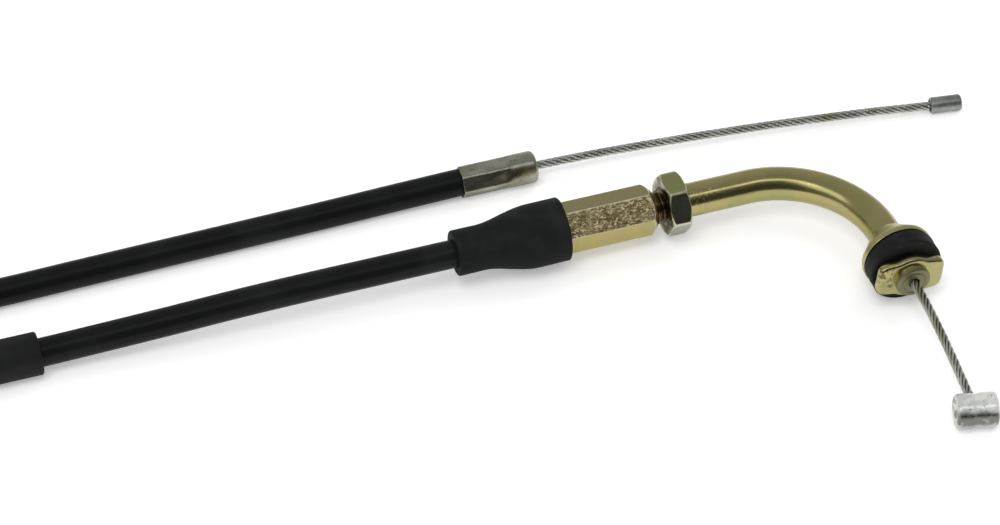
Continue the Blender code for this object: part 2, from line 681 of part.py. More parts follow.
def coil_distance(place, along):
    """How far the nearer edge of a tube's end lies from the coil's outside."""
    side = Vector((-along.y, along.x, 0)).normalized() * CONDUIT_DIAMETER / 2
    flat = Vector((place.x - COIL_CENTRE.x, place.y - COIL_CENTRE.y, 0))
    outside = COIL_RADIUS + CONDUIT_DIAMETER * COIL_WIDE / 2
    return min((flat + side).length, (flat - side).length) - outside


def clear_of_coil(points):
    """The stretch of a route that stays a gap away from the coil's outside."""
    kept = [points[0]]
    for place in points[1:]:
        start = kept[-1]
        along = (place - start).normalized()
        if coil_distance(place, along) < GAP:
            near, far = 0.0, 1.0
            for _ in range(20):
                middle = (near + far) / 2
                fits = coil_distance(start.lerp(place, middle), along) > GAP
                near, far = (middle, far) if fits else (near, middle)
            kept.append(start.lerp(place, near))
            break
        kept.append(place)
    return kept


def with_shoulder(points):
    """Adds the two points between which the jacket steps down to its crimped size."""
    thick = FERRULE_PLACE.x - FERRULE_LENGTH - 2 * GAP
    thin = thick + GAP
    inside = [place for place in points if place.x > thin + GAP]
    outside = [place for place in points if place.x < thick - GAP]
    start, end = inside[-1], outside[0]
    step = [start.lerp(end, (x - start.x) / (end.x - start.x)) for x in (thin, thick)]
    return [*inside, *step, *outside]


def jacket(place):
    """The jacket is squeezed thin where the ferrule holds it."""
    held = place.x > FERRULE_PLACE.x - FERRULE_LENGTH - 1.5 * GAP
    return CRIMPED_JACKET / CONDUIT_DIAMETER if held else 1.0


def build():
    clear_scene()
    black = finish("conduit_plastic", (0.012, 0.013, 0.013), 0.35, 0.0)
    rubber = finish("black_rubber", (0.022, 0.024, 0.024), 0.6, 0.0)
    gold = finish("yellow_zinc", (0.45, 0.36, 0.16), 0.3, 1.0)
    nut_zinc = finish("olive_zinc", (0.30, 0.32, 0.20), 0.35, 1.0)
    nickel = finish("nickel_plate", (0.42, 0.41, 0.34), 0.35, 1.0)
    steel = finish("wire_steel", (0.40, 0.40, 0.36), 0.4, 1.0)
    cast = finish("cast_zinc", (0.62, 0.63, 0.63), 0.3, 1.0)
    nylon = finish("liner_plastic", (0.75, 0.75, 0.70), 0.5, 0.0)
    tie_look = finish("tie_plastic", (0.02, 0.02, 0.02), 0.5, 0.0)

    crossing = axis_empty("crossing_on_table", CROSSING)
    pipe_axis = axis_empty("pipe_axis", AXES)
    exit_axis = axis_empty("exit_axis", AXES, radians(-90))

    make_barrel_nipple(cast, crossing)
    wire = smooth_route(throttle_wire_route(), WIRE_SPACING)
    tube("throttle_wire", wire, WIRE_DIAMETER, steel, crossing, 2)

    make_elbow_pipe(gold, pipe_axis)
    make_pipe_liner(nylon, pipe_axis)
    make_pipe_flange(gold, exit_axis)
    make_seal_washer(rubber, exit_axis)
    make_key_plate(gold, exit_axis)
    make_lock_nut(nut_zinc, pipe_axis)
    make_adjuster(gold, pipe_axis)
    make_conduit_cap(nickel, pipe_axis)
    make_rubber_boot(rubber, pipe_axis)
    make_sleeve(rubber, crossing)

    lower = clear_of_coil(smooth_route(THROTTLE_ROUTE, CONDUIT_SPACING))
    tube("conduit_throttle_side", lower, CONDUIT_DIAMETER, black, crossing, 3)
    make_coil(black, crossing)
    for number, angle in enumerate(TIE_ANGLES, 1):
        make_coil_tie(number, angle, tie_look, crossing)
    upper = with_shoulder(clear_of_coil(smooth_route(CARBURETTOR_ROUTE, CONDUIT_SPACING)))
    tube("conduit_carburettor_side", upper, CONDUIT_DIAMETER, black, crossing, 3, jacket)
    add_object("carburettor_ferrule", ferrule_mesh(), nickel, crossing, FERRULE_PLACE)
    wire = smooth_route(CARBURETTOR_WIRE_ROUTE, 1.5 * WIRE_SPACING)
    tube("carburettor_wire", wire, WIRE_DIAMETER, steel, crossing, 2)
    make_carburettor_nipple(cast, crossing)


build()
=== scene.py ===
# Throttle cable, dressed piece by piece in the order it is put together. Metres, +Z up.

from math import atan2, cos, pi, radians, sin

import bmesh
import bpy
from mathutils import Matrix, Vector
from mathutils.kdtree import KDTree


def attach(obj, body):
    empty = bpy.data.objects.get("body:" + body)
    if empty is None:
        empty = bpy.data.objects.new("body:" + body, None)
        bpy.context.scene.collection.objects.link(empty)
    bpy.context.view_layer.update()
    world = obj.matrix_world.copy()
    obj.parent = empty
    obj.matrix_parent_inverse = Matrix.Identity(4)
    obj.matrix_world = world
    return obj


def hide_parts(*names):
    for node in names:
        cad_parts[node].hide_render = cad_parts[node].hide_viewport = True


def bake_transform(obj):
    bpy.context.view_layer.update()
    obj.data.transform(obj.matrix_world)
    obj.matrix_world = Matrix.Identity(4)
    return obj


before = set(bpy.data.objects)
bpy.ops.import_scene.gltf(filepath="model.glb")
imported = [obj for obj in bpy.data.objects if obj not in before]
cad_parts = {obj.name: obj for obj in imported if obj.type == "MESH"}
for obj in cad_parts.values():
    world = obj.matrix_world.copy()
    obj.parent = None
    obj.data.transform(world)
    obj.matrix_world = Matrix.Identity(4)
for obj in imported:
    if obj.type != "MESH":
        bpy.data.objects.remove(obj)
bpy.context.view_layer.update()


# CONDUIT
# The outer casing: a flat-wound steel spiral in an extruded jacket of satin black plastic, 5 mm thick.
# It runs from the adjuster to the carburettor ferrule. Its spare middle is wound into a tied coil.

crossing = Vector((0.033075, 0.0291683, 0.0))
axis_height = 0.00655
conduit_diameter = 0.0050
coil_centre = Vector((-0.2314, 0.0107, 0.0))
coil_turns = 2.782
coil_entry = radians(-39.5)
outer_ring = 0.0325
low_layer = 0.0036
steps_a_turn = 24

from_adjuster = [
    (-0.0539, 0, axis_height), (-0.0650, 0, axis_height), (-0.0760, 0, axis_height),
    (-0.0875, 0, axis_height), (-0.0990, 0, axis_height), (-0.1110, 0.0003, 0.0061),
    (-0.1230, 0.0009, 0.0051), (-0.1350, 0.0015, 0.0042), (-0.1460, 0.00175, 0.00375),
    (-0.1560, 0.00175, 0.00375), (-0.1660, 0.00175, 0.00375), (-0.1780, 0.00175, 0.00375),
    (-0.1884, 0.0004, 0.0037), (-0.1980, -0.0036, 0.0037), (-0.2063, -0.0100, 0.0037),
]
to_ferrule = [
    (-0.2063, 0.0313, 0.0083), (-0.1980, 0.0250, 0.0077), (-0.1884, 0.0210, 0.0062),
    (-0.1780, 0.01965, 0.0042), (-0.1640, 0.01965, 0.0028), (-0.1490, 0.0197, 0.0025),
    (-0.1350, 0.0200, 0.0025), (-0.1200, 0.0203, 0.0025), (-0.1050, 0.0206, 0.0025),
    (-0.0900, 0.0209, 0.0025), (-0.0760, 0.0212, 0.0026), (-0.0652, 0.02112, 0.0029),
]
in_ferrule = [
    (-0.0646, 0.02111, 0.0029), (-0.0641, 0.02111, 0.0029), (-0.0605, 0.02108, 0.0029),
    (-0.0565, 0.02105, 0.0029),
]


def eased(low, high, at):
    """0 before low, 1 after high, with a soft start and end."""
    share = min(1, max(0, (at - low) / (high - low)))
    return share * share * (3 - 2 * share)


def smooth_route(points, spacing):
    """Points along a smooth curve through the given ones, about spacing apart."""
    knots = [Vector(point) for point in points]
    knots = [2 * knots[0] - knots[1], *knots, 2 * knots[-1] - knots[-2]]
    route = []
    for before, start, end, after in zip(knots, knots[1:], knots[2:], knots[3:]):
        count = max(1, round((end - start).length / spacing))
        for i in range(count):
            t = i / count
            route.append(0.5 * (
                2 * start + (end - before) * t
                + (2 * before - 5 * start + 4 * end - after) * t ** 2
                + (3 * start - before - 3 * end + after) * t ** 3
            ))
    return [*route, knots[-2]]


# It winds in from the outer ring to the inner one, climbs on top of itself and winds out again
winding = []
for step in range(1, round(coil_turns * steps_a_turn)):
    turn = step / steps_a_turn
    reach = outer_ring - conduit_diameter * eased(0.76, 1.0, turn)
    reach += conduit_diameter * eased(2.28, 2.53, turn)
    lift = low_layer + conduit_diameter * eased(1.53, 1.75, turn)
    angle = coil_entry - 2 * pi * turn
    winding.append(coil_centre + Vector((reach * cos(angle), reach * sin(angle), lift)))

conduit_line = smooth_route([*from_adjuster, *winding, *to_ferrule], 0.004)
conduit_line = [crossing + Vector(place) for place in [*conduit_line, *in_ferrule]]
conduit_length = sum((b - a).length for a, b in zip(conduit_line, conduit_line[1:]))

conduit_curve = bpy.data.curves.new("conduit", "CURVE")
conduit_curve.dimensions = "3D"
conduit_curve.bevel_depth = conduit_diameter / 2
conduit_curve.bevel_resolution = 6
conduit_curve.use_fill_caps = True
conduit_spline = conduit_curve.splines.new("POLY")
conduit_spline.points.add(len(conduit_line) - 1)
for knot, place in zip(conduit_spline.points, conduit_line):
    knot.co = (*place, 1)
    squeezed = eased(-0.0646, -0.0641, place.x - crossing.x) * (place.y > crossing.y + 0.015)
    knot.radius = 1 - 0.16 * squeezed
conduit = bpy.data.objects.new("conduit", conduit_curve)
bpy.context.collection.objects.link(conduit)


class Signal:
    """A shader socket. Arithmetic on it adds Math nodes, and node() adds any other node."""

    def __init__(self, tree, socket=None):
        self.tree = tree
        self.socket = socket

    def node(self, kind, settings, values, output=0):
        """Settings are set first. Values are numbers, colours or Signals for the named sockets."""
        made = self.tree.nodes.new(kind)
        for name, value in settings.items():
            if name == "stops":
                while len(made.color_ramp.elements) < len(value):
                    made.color_ramp.elements.new(0.5)
                for stop, (place, shade) in zip(made.color_ramp.elements, value):
                    stop.position = place
                    stop.color = shade
            else:
                setattr(made, name, value)
        for name, value in values.items():
            if isinstance(value, Signal):
                self.tree.links.new(value.socket, made.inputs[name])
            else:
                made.inputs[name].default_value = value
        return Signal(self.tree, made.outputs[output])

    def __add__(self, other):
        return self.node("ShaderNodeMath", {"operation": "ADD"}, {0: self, 1: other})

    __radd__ = __add__

    def __sub__(self, other):
        return self.node("ShaderNodeMath", {"operation": "SUBTRACT"}, {0: self, 1: other})

    def __rsub__(self, other):
        return self.node("ShaderNodeMath", {"operation": "SUBTRACT"}, {0: other, 1: self})

    def __mul__(self, other):
        return self.node("ShaderNodeMath", {"operation": "MULTIPLY"}, {0: self, 1: other})

    __rmul__ = __mul__

    def grain(self, scale, stretch=(1, 1, 1), detail=3.0, distortion=0.0):
        """Soft noise on these coordinates, finer as scale grows and as stretch does along an axis."""
        spread = self.node("ShaderNodeMapping", {}, {"Vector": self, "Scale": stretch})
        return self.node(
            "ShaderNodeTexNoise", {},
            {"Vector": spread, "Scale": scale, "Detail": detail, "Distortion": distortion},
        )

    def within(self, low, high):
        """0 below low, 1 above high."""
        return self.node(
            "ShaderNodeMapRange", {"interpolation_type": "SMOOTHSTEP"},
            {"Value": self, "From Min": low, "From Max": high},
        )

    def along(self, direction):
        """How far these coordinates lie along a direction."""
        values = {0: self, 1: direction}
        return self.node("ShaderNodeVectorMath", {"operation": "DOT_PRODUCT"}, values, "Value")

    def paint(self, base, over):
        """The base colour, and the over colour where this is 1."""
        return self.node("ShaderNodeMix", {"data_type": "RGBA"}, {0: self, 6: base, 7: over}, 2)


def new_finish(name, metallic, **fixed):
    """A material, its shader and its object coordinates. fixed holds the sockets that don't vary."""
    look = bpy.data.materials.new(name)
    look.use_nodes = True
    shader = look.node_tree.nodes["Principled BSDF"]
    shader.inputs["Metallic"].default_value = metallic
    for socket, value in fixed.items():
        shader.inputs[socket.replace("_", " ")].default_value = value
    spot = Signal(look.node_tree).node("ShaderNodeTexCoord", {}, {}, "Object")
    return look, shader, spot


def wire_up(shader, colour, roughness, height=None, depth=0.00005, strength=0.5):
    """Feeds a finish its colour, roughness and bump."""
    colour.tree.links.new(colour.socket, shader.inputs["Base Color"])
    colour.tree.links.new(roughness.socket, shader.inputs["Roughness"])
    if height:
        bump = height.node("ShaderNodeBump", {}, {"Strength": strength, "Distance": depth, "Height": height})
        colour.tree.links.new(bump.socket, shader.inputs["Normal"])


jacket_look, shader, spot = new_finish("conduit jacket", 0.0, Specular_IOR_Level=0.17)
dust = spot.grain(120, detail=5.0)
drag = spot.grain(260, (0.15, 1, 1), 4.0)
jacket_colour = dust.within(0.45, 0.75).paint((0.0062, 0.0070, 0.0066, 1), (0.0115, 0.0128, 0.0122, 1))
wire_up(shader, jacket_colour, 0.24 + 0.20 * drag, drag + 0.4 * spot.grain(1500), 0.00006, 0.35)
conduit_curve.materials.append(jacket_look)
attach(conduit, "root")
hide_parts("conduit_throttle_side", "conduit_coil", "conduit_carburettor_side")


# END CAP AND COIL TIES
# A drawn nickel cup closes the conduit inside the adjuster, and soft plastic bands hold the coil.
# Both are finished solids of the frame, so they only take their materials here.

cap_look, shader, spot = new_finish("end cap nickel", 1.0)
tone = spot.grain(300, (0.4, 1, 1))
wire_up(shader, tone.paint((0.32, 0.31, 0.26, 1), (0.50, 0.49, 0.42, 1)), 0.28 + 0.2 * tone, tone, 0.00003)
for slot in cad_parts["conduit_end_cap"].material_slots:
    slot.material = cap_look

tie_look, shader, spot = new_finish("tie plastic", 0.0, Specular_IOR_Level=0.4)
rib = spot.grain(2200, (1, 1, 0.1), 1.0)
scuff = spot.grain(300, detail=4.0)
tie_colour = scuff.within(0.5, 0.8).paint((0.020, 0.021, 0.022, 1), (0.045, 0.046, 0.047, 1))
wire_up(shader, tie_colour, 0.45 + 0.2 * scuff, rib, 0.00008, 0.4)
for number in (1, 2, 3):
    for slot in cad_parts[f"coil_tie_{number}"].material_slots:
        slot.material = tie_look


# PROTECTIVE SLEEVE
# A loose length of black rubber tube, 7.5 mm thick, pushed over the conduit where it would rub.
# Its cut ends are square, and it has taken on dust and a few shallow dents.

sleeve_start = -0.176
sleeve_length = 0.030
sleeve_place = Vector((sleeve_start, 0.00175, 0.00375))


def turned(profile, steps, placing):
    """A turned piece: a line of (x, radius) points spun about X, then placed."""
    bm = bmesh.new()
    line = [bm.verts.new((x, 0, radius)) for x, radius in profile]
    edges = [bm.edges.new(pair) for pair in zip(line, line[1:])]
    if min(radius for _, radius in profile) > 0:
        edges.append(bm.edges.new((line[-1], line[0])))
    bmesh.ops.spin(
        bm, geom=line + edges, cent=(0, 0, 0), axis=(1, 0, 0), angle=2 * pi, steps=steps, use_merge=True,
    )
    bmesh.ops.remove_doubles(bm, verts=bm.verts, dist=1e-7)
    bmesh.ops.recalc_face_normals(bm, faces=bm.faces)
    bm.transform(placing)
    return bm


def rounded_corner(x, radius, size, way, steps=5):
    """Profile points of a rounded rim that ends at x, turning from the side to the face."""
    points = []
    for i in range(steps + 1):
        angle = radians(90) * i / steps
        points.append((x - way * size * (1 - sin(angle)), radius - size * (1 - cos(angle))))
    return points


def set_down(name, bm, look, body, slot, *nodes, sharp=40):
    """Makes a piece of a mesh that is already in place, and hands it to its body."""
    mesh = bpy.data.meshes.new(name)
    bm.to_mesh(mesh)
    bm.free()
    mesh.shade_smooth()
    mesh.set_sharp_from_angle(angle=radians(sharp))
    mesh.materials.append(look)
    piece = bpy.data.objects.new(name, mesh)
    bpy.context.collection.objects.link(piece)
    if body:
        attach(piece, body)
    if nodes:
        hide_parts(*nodes)
    return piece


rubber_look, shader, spot = new_finish("sleeve rubber", 0.0, Specular_IOR_Level=0.25)
cloud = spot.grain(180, detail=5.0)
rubber_colour = cloud.within(0.4, 0.75).paint((0.0085, 0.0090, 0.0090, 1), (0.0170, 0.0175, 0.0175, 1))
wire_up(shader, rubber_colour, 0.5 + 0.2 * cloud, cloud + 0.3 * spot.grain(1800), 0.00012, 0.4)
sleeve_bore = conduit_diameter / 2 + 0.0003
sleeve_rim = 0.00375
profile = [(0, sleeve_bore), *reversed(rounded_corner(0, sleeve_rim, 0.0003, -1))]
profile += [*rounded_corner(sleeve_length, sleeve_rim, 0.0003, 1), (sleeve_length, sleeve_bore)]
sleeve_mesh = turned(profile, 64, Matrix.Translation(crossing + sleeve_place))
sleeve = set_down("sleeve", sleeve_mesh, rubber_look, "root", "sleeve_rubber", "protective_sleeve")


# CARBURETTOR FERRULE
# A drawn steel cup, nickel plated, pushed over the conduit's end and crimped to six shallow flats.
# The round shoulder at its front seats in the carburettor cap, and the wire comes out of its hole.

ferrule_place = Vector((-0.0507, 0.02105, 0.0029))
ferrule_radius = 0.0029
ferrule_length = 0.0141
crimp_length = 0.0094
crimp_flat = 0.00262
crimp_turn = radians(56)
wire_hole = 0.00105
dent_x = -0.0117
dent_angle = radians(99)

profile = [(-ferrule_length, 0.00253), (-ferrule_length, 0.00275), (-ferrule_length + 0.0001, ferrule_radius)]
crimp_end = -ferrule_length + crimp_length
for i in range(25):
    profile.append((-ferrule_length + 0.0003 + (crimp_length - 0.0003) * i / 24, ferrule_radius))
profile += rounded_corner(0, ferrule_radius, 0.0008, 1, 8)
profile += [(0, wire_hole), (-0.0052, wire_hole), (-0.0052, 0.0024), (-ferrule_length + 0.0008, 0.0024)]
ferrule_mesh = turned(profile, 120, Matrix())
for vert in ferrule_mesh.verts:
    radius = (vert.co.y ** 2 + vert.co.z ** 2) ** 0.5
    pressed = 1 - eased(crimp_end - 0.0016, crimp_end, vert.co.x)
    if radius > 0.0026 and pressed > 0:
        angle = atan2(vert.co.z, vert.co.y)
        lean = (angle + crimp_turn) % radians(60) - radians(30)
        reach = min(ferrule_radius, crimp_flat / cos(lean)) - 0.4 * (ferrule_radius - radius)
        scale = 1 - pressed * (1 - reach / radius)
        vert.co.y *= scale
        vert.co.z *= scale
        off = Vector((vert.co.x - dent_x, 0.0026 * (angle - dent_angle)))
        sunk = 1 - 0.08 * eased(0.0008, 0, off.length) - 0.02 * sin(900 * vert.co.x) * sin(3 * angle) ** 2
        vert.co.y *= sunk
        vert.co.z *= sunk
ferrule_mesh.transform(Matrix.Translation(crossing + ferrule_place))

nickel_look, shader, spot = new_finish("ferrule nickel", 1.0)
smear = spot.grain(330, (0.5, 1, 1), 4.0, 0.6)
pits = spot.grain(1600, detail=3.0)
nickel_colour = smear.within(0.35, 0.65).paint((0.36, 0.35, 0.26, 1), (0.55, 0.54, 0.44, 1))
nickel_colour = pits.within(0.62, 0.74).paint(nickel_colour, (0.20, 0.185, 0.135, 1))
wire_up(shader, nickel_colour, 0.20 + 0.20 * smear, smear + 0.3 * pits, 0.00012, 0.5)
ferrule = set_down("ferrule", ferrule_mesh, nickel_look, "root", "ferrule_nickel", "carburettor_ferrule")


# CARBURETTOR WIRE AND NIPPLE
# The bare end of the inner wire: a steel rope, 1.6 mm over its strands, of six round a core.
# A small cast cylinder closes it, which hooks into the throttle slide.

strand_radius = 0.00027
lay_length = 0.0082
strand_lay = 0.0040
nipple_place = Vector((0.0240, 0.0152, 0.0015))
wire_line = [
    (-0.0558, 0.02105, 0.0029), (-0.0507, 0.02105, 0.0029), (-0.0450, 0.0209, 0.0029),
    (-0.0384, 0.0207, 0.00285), (-0.0300, 0.0202, 0.0028), (-0.0195, 0.0195, 0.0027),
    (-0.0082, 0.0186, 0.0025), (0.0020, 0.0177, 0.0022), (0.0120, 0.0167, 0.0019),
    (0.0190, 0.0159, 0.0016), (0.0240, 0.0152, 0.0015), (0.0278, 0.01467, 0.0015),
]

# The section that each strand is swept with: six fine wires round their core
strand_section_curve = bpy.data.curves.new("strand section", "CURVE")
section = strand_section_curve.splines.new("POLY")
section.points.add(17)
section.use_cyclic_u = True
for i, corner in enumerate(section.points):
    swell = strand_radius * (1.0 if i % 3 == 1 else 0.93 if i % 3 == 0 else 0.80)
    corner.co = (swell * cos(2 * pi * i / 18), swell * sin(2 * pi * i / 18), 0, 1)
strand_section = bpy.data.objects.new("strand section", strand_section_curve)
bpy.context.collection.objects.link(strand_section)


def rope(name, places, look):
    """A stranded wire along the places: six strands wound round a core, each twisted in itself."""
    line = [crossing + place for place in smooth_route(places, 0.0005)]
    curve = bpy.data.curves.new(name, "CURVE")
    curve.dimensions = "3D"
    curve.bevel_mode = "OBJECT"
    curve.bevel_object = strand_section
    curve.use_fill_caps = True
    for strand in range(7):
        spline = curve.splines.new("POLY")
        spline.points.add(len(line) - 1)
        run = 0.0
        for i, (knot, place) in enumerate(zip(spline.points, line)):
            ahead = (line[min(i + 1, len(line) - 1)] - line[max(i - 1, 0)]).normalized()
            run += (place - line[i - 1]).length if i else 0.0
            side = ahead.cross(Vector((0, 0, 1))).normalized()
            up = side.cross(ahead)
            angle = 2 * pi * (strand / 6 - run / lay_length)
            out = 0.0 if strand == 6 else 2 * strand_radius
            knot.co = (*(place + (side * cos(angle) + up * sin(angle)) * out), 1)
            knot.tilt = 2 * pi * run / strand_lay
    curve.materials.append(look)
    twisted = bpy.data.objects.new(name, curve)
    bpy.context.collection.objects.link(twisted)
    seen = twisted.evaluated_get(bpy.context.evaluated_depsgraph_get())
    bm = bmesh.new()
    bm.from_mesh(seen.to_mesh())
    seen.to_mesh_clear()
    bpy.data.objects.remove(twisted, do_unlink=True)
    bmesh.ops.recalc_face_normals(bm, faces=bm.faces)
    middle = KDTree(len(line))
    for i, place in enumerate(line):
        middle.insert(place, i)
    middle.balance()
    # How far out on its strand each point lies: the finish paints shade into the gaps between strands from
    # this
    crown = bm.verts.layers.float.new("crown")
    for vert in bm.verts:
        vert[crown] = eased(1.8 * strand_radius, 2.7 * strand_radius, middle.find(vert.co)[2])
    return bm


steel_look, shader, spot = new_finish("wire steel", 1.0)
streak = spot.grain(700, (0.5, 0.5, 1), 3.0)
stain = spot.grain(90, detail=3.0)
crown = spot.node("ShaderNodeAttribute", {"attribute_name": "crown"}, {}, "Fac")
steel_colour = streak.within(0.35, 0.7).paint((0.62, 0.63, 0.56, 1), (0.90, 0.91, 0.84, 1))
steel_colour = stain.within(0.52, 0.72).paint(steel_colour, (0.48, 0.47, 0.33, 1))
# Painted shade: the gaps between the strands are painted near black
steel_colour = crown.paint((0.055, 0.055, 0.042, 1), steel_colour)
wire_up(shader, steel_colour, 0.24 + 0.15 * streak)
carburettor_wire = set_down(
    "carburettor_rope_end", rope("carburettor rope", wire_line, steel_look), steel_look, None,
    "wire_steel", "carburettor_wire", sharp=180,
)
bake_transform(carburettor_wire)

nipple_radius = 0.0015
nipple_length = 0.0058
nipple_yaw = radians(-8)
profile = [(0.0040, 0), (0.0040, wire_hole), (0, wire_hole)]
profile += list(reversed(rounded_corner(0, nipple_radius, 0.0004, -1)))
profile += [(nipple_length * 0.42, nipple_radius), *rounded_corner(nipple_length, nipple_radius, 0.0004, 1)]
profile += [(nipple_length, 0)]
placing = Matrix.Translation(crossing + nipple_place) @ Matrix.Rotation(nipple_yaw, 4, "Z")
cast_look, shader, spot = new_finish("cast zinc", 1.0)
blotch = spot.grain(420, detail=4.0, distortion=0.4)
pocks = spot.grain(1700, detail=2.0)
cast_colour = blotch.within(0.35, 0.65).paint((0.74, 0.76, 0.72, 1), (0.95, 0.96, 0.92, 1))
cast_colour = pocks.within(0.64, 0.72).paint(cast_colour, (0.25, 0.25, 0.24, 1))
# Painted light by height on the barrel: its top is lit up through a lower Metallic, and a noisy band below it
# is painted dark as a reflection of the dim room in front
above_table = spot.along((0, 0, 1))
painted_lit_top = (above_table + 0.0008 * blotch).within(0.0046, 0.0056)
painted_dark_reflection = (1 - painted_lit_top) * above_table.within(0.0014, 0.0030) * spot.grain(600, detail=4.0).within(0.30, 0.46)
cast_colour = (0.9 * painted_dark_reflection).paint(cast_colour, (0.19, 0.195, 0.165, 1))
wire_up(shader, cast_colour, 0.16 + 0.22 * blotch, blotch + 0.4 * pocks, 0.00012, 0.5)
painted_top_light_metallic = 1 - 0.55 * painted_lit_top
painted_top_light_metallic.tree.links.new(painted_top_light_metallic.socket, shader.inputs["Metallic"])
dull_look, shader, spot = new_finish("dull cast zinc", 1.0)
blotch = spot.grain(500, detail=4.0, distortion=0.4)
pocks = spot.grain(1900, detail=2.0)
dull_colour = blotch.within(0.35, 0.65).paint((0.34, 0.37, 0.35, 1), (0.48, 0.52, 0.49, 1))
dull_colour = pocks.within(0.66, 0.74).paint(dull_colour, (0.62, 0.65, 0.64, 1))
wire_up(shader, dull_colour, 0.34 + 0.2 * blotch, blotch + 0.4 * pocks, 0.00010, 0.5)
set_down(
    "carburettor_end_nipple", turned(profile, 64, placing), dull_look, "carburettor_end",
    "cast_zinc", "carburettor_nipple",
)


# SCREW ADJUSTER
# An 8 mm hexagon of steel with yellow passivated zinc, bored and threaded M6 for the pipe.
# The face towards the front is pitted and coppery, and its socket collar takes the conduit's cap.

adjuster_end = -0.0362
adjuster_hex_start = -0.0549
adjuster_collar_start = -0.0604
adjuster_across = 0.0080
adjuster_turn = radians(-16)
adjuster_blank = 0.0048
collar_radius = 0.0042
collar_bore = 0.0036
pipe_radius = 0.0030


def pressed_hexagon(profile, across, soft, turn):
    """A turned blank with six flats pressed on it. Soft rims, marked so that the finish can paint a highlight
    on them, run round them.
    """
    bm = turned(profile, 180, Matrix())
    rim = bm.verts.layers.float.new("rim")
    for vert in bm.verts:
        radius = (vert.co.y ** 2 + vert.co.z ** 2) ** 0.5
        if radius > 0.42 * across:
            lean = atan2(vert.co.z, vert.co.y) % radians(60) - radians(30)
            flat = across / 2 / cos(lean)
            near = max(0, 1 - abs(radius - flat) / soft)
            vert[rim] = near
            scale = (min(radius, flat) - near * near * soft / 4) / radius
            vert.co.y *= scale
            vert.co.z *= scale
    bm.transform(Matrix.Rotation(turn, 4, "X"))
    return bm


pipe_axis = crossing + Vector((0, 0, axis_height))
soft_start = adjuster_end - 0.0016
profile = [(adjuster_hex_start, pipe_radius + 0.0002)]
for i in range(9):
    profile.append((adjuster_hex_start + (soft_start - adjuster_hex_start) * i / 8, adjuster_blank))
for i in range(24):
    x = adjuster_end - 0.0015 * (1 - i / 23)
    profile.append((x, min(adjuster_blank, 0.0034 + 1.25 * (adjuster_end - x))))
profile += [(adjuster_end, 0.0033), (adjuster_end - 0.0008, pipe_radius + 0.0002)]
adjuster_mesh = pressed_hexagon(profile, adjuster_across, 0.00032, adjuster_turn)
collar = turned([
    (adjuster_collar_start, collar_bore),
    *reversed(rounded_corner(adjuster_collar_start, collar_radius, 0.0003, -1)),
    (adjuster_hex_start + 0.0004, collar_radius), (adjuster_hex_start + 0.0004, collar_bore),
], 96, Matrix())
collar_part = bpy.data.meshes.new("collar part")
collar.to_mesh(collar_part)
collar.free()
adjuster_mesh.from_mesh(collar_part)
adjuster_mesh.transform(Matrix.Translation(pipe_axis))

adjuster_look, shader, spot = new_finish("adjuster zinc", 1.0)
out = Vector((0, -cos(radians(46)), sin(radians(46))))
above = Vector((0, cos(radians(74)), sin(radians(74))))
on_worn_face = (spot.along(out) - pipe_axis.dot(out)).within(0.00391, 0.00397)
top_face_painted_shade = (spot.along(above) - pipe_axis.dot(above)).within(0.00385, 0.00394)
drift = spot.grain(160, detail=3.0)
zinc_colour = drift.within(0.35, 0.65).paint((0.64, 0.55, 0.20, 1), (0.60, 0.52, 0.23, 1))
# Painted shade: the top flat is painted darker than the rest of the hexagon
zinc_colour = top_face_painted_shade.paint(zinc_colour, (0.43, 0.37, 0.165, 1))
mottle = spot.grain(620, detail=6.0, distortion=0.8)
specks = spot.grain(1250, (0.7, 1.2, 1.2), 6.0, 2.2)
worn_colour = mottle.within(0.36, 0.64).paint((0.22, 0.160, 0.068, 1), (0.42, 0.34, 0.165, 1))
# The bright cream specks are partly bare metal and partly painted glints
worn_colour = specks.within(0.53, 0.61).paint(worn_colour, (0.86, 0.78, 0.48, 1))
worn_colour = (1 - specks.within(0.36, 0.47)).paint(worn_colour, (0.14, 0.095, 0.045, 1))
adjuster_colour = on_worn_face.paint(zinc_colour, worn_colour)
# Painted highlight: the soft rims round the flats are painted pale cream, partly as rubbed wear
rubbed_rim_and_highlight = spot.node("ShaderNodeAttribute", {"attribute_name": "rim"}, {}, "Fac").within(0.12, 0.40)
adjuster_colour = (0.9 * rubbed_rim_and_highlight).paint(adjuster_colour, (0.92, 0.86, 0.62, 1))
wire_up(
    shader, adjuster_colour, 0.24 + 0.08 * drift + 0.22 * on_worn_face * mottle,
    0.12 * drift + on_worn_face * (specks + 1.5 * mottle), 0.00020, 0.7,
)
dulled = 1 - 0.35 * on_worn_face
dulled.tree.links.new(dulled.socket, shader.inputs["Metallic"])
set_down("adjuster_body", adjuster_mesh, adjuster_look, "adjuster", "adjuster_zinc", "adjuster", sharp=45)


# RUBBER BOOT
# A soft moulded boot that keeps water out of the adjuster. Its neck grips the conduit and its wide
# mouth is pushed over the hexagon, where the lip is a little nicked.

